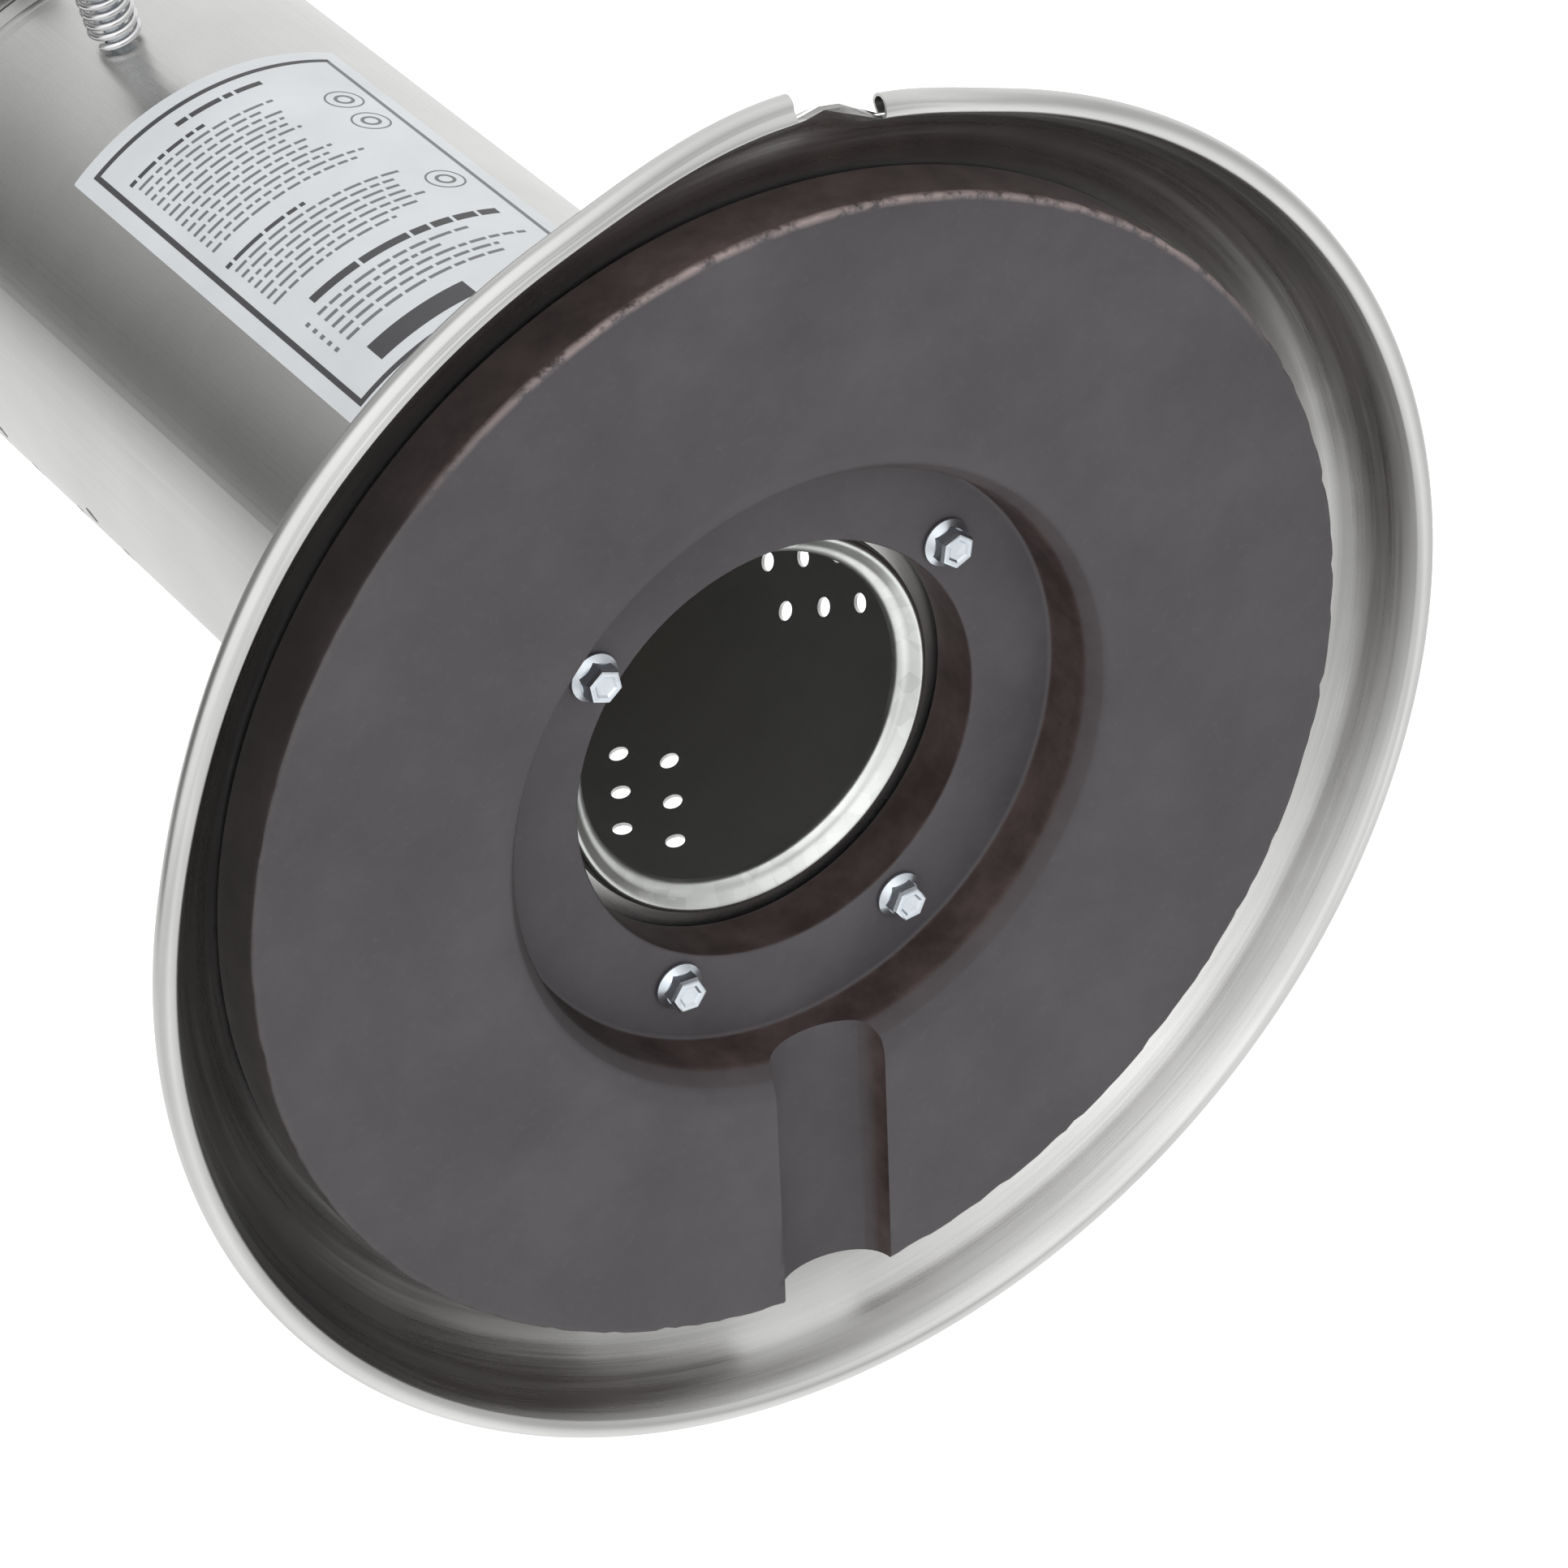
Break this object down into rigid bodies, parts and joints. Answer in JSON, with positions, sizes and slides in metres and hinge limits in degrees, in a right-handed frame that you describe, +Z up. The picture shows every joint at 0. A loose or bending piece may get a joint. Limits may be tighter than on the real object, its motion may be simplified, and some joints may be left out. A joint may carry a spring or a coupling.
{
  "type": "table-top gas patio heater",
  "caption": "Table-top gas patio heater: dished steel base with cast weight, tubular housing with lift-off door, emitter screen and domed reflector on posts.",
  "frame": {"origin": "on the table, under the middle of the heater", "axes": "+Z up, -Y towards the door and the controls"},
  "size_m": [0.53, 0.53, 0.832],
  "materials": {
    "stainless": "satin",
    "cast_weight": "matte, mottled",
    "zinc": "bright zinc",
    "chrome": "polished",
    "brass": "machined",
    "black_plastic": "matte",
    "label": "printed white plate",
    "ceramic": "unglazed"
  },
  "bodies": {
    "heater": {"base_bolt_1": "zinc", "base_bolt_2": "zinc", "base_bolt_3": "zinc", "base_bolt_4": "zinc", "base_nut_1": "zinc", "base_nut_2": "zinc", "base_nut_3": "zinc", "base_nut_4": "zinc", "base_shell": "stainless", "base_weight": "cast_weight", "burner_bowl": "stainless", "burner_head": "stainless", "burner_tube": "stainless", "control_bezel": "stainless", "control_housing": "stainless", "emitter_cap": "stainless", "emitter_screen": "stainless", "gas_inlet_fitting": "brass", "gas_pipe": "brass", "gas_valve": "brass", "housing_bottom_ring": "zinc", "housing_top_ring": "stainless", "igniter_body": "black_plastic", "injector": "brass", "lower_housing": "stainless", "post_spacer_1": "zinc", "post_spacer_2": "zinc", "post_spacer_3": "zinc", "reflector": "stainless", "reflector_hub": "stainless", "reflector_post_1": "stainless", "reflector_post_2": "stainless", "reflector_post_3": "stainless", "spark_electrode": "ceramic", "thermocouple": "brass", "tilt_switch": "black_plastic", "valve_bracket": "zinc", "wing_nut_1": "zinc", "wing_nut_2": "zinc", "wing_nut_3": "zinc"},
    "door": {"door_plate": "stainless", "instruction_plate": "label", "door_hook_left": "zinc", "door_hook_right": "zinc"},
    "door_latch": {"door_handle_spindle": "zinc", "door_handle_coil": "chrome", "door_handle_knob": "black_plastic", "door_handle_washer": "zinc", "door_latch_tongue": "zinc"},
    "valve_stem": {"valve_stem": "brass"},
    "control_knob": {"control_knob": "black_plastic"},
    "igniter_button": {"igniter_button": "black_plastic"}
  },
  "joints": [
    {"name": "door_tilt", "type": "hinge", "parent": "heater", "child": "door", "pos_m": [0, -0.0684, 0.078], "axis": [1, 0, 0], "range_deg": [0, 35]},
    {"name": "latch_turn", "type": "hinge", "parent": "door", "child": "door_latch", "pos_m": [0, -0.0685, 0.297], "axis": [0, -1, 0], "range_deg": [0, 90]},
    {"name": "knob_turn", "type": "hinge", "parent": "heater", "child": "valve_stem", "pos_m": [0, -0.05, 0.372], "axis": [0, -1, 0], "range_deg": [0, 210]},
    {"name": "knob_push", "type": "slide", "parent": "valve_stem", "child": "control_knob", "axis": [0, 1, 0], "range_m": [0, 0.003], "stiffness_N_per_m": 1500},
    {"name": "igniter_push", "type": "slide", "parent": "heater", "child": "igniter_button", "axis": [0, 1, 0], "range_m": [0, 0.005], "stiffness_N_per_m": 800}
  ]
}
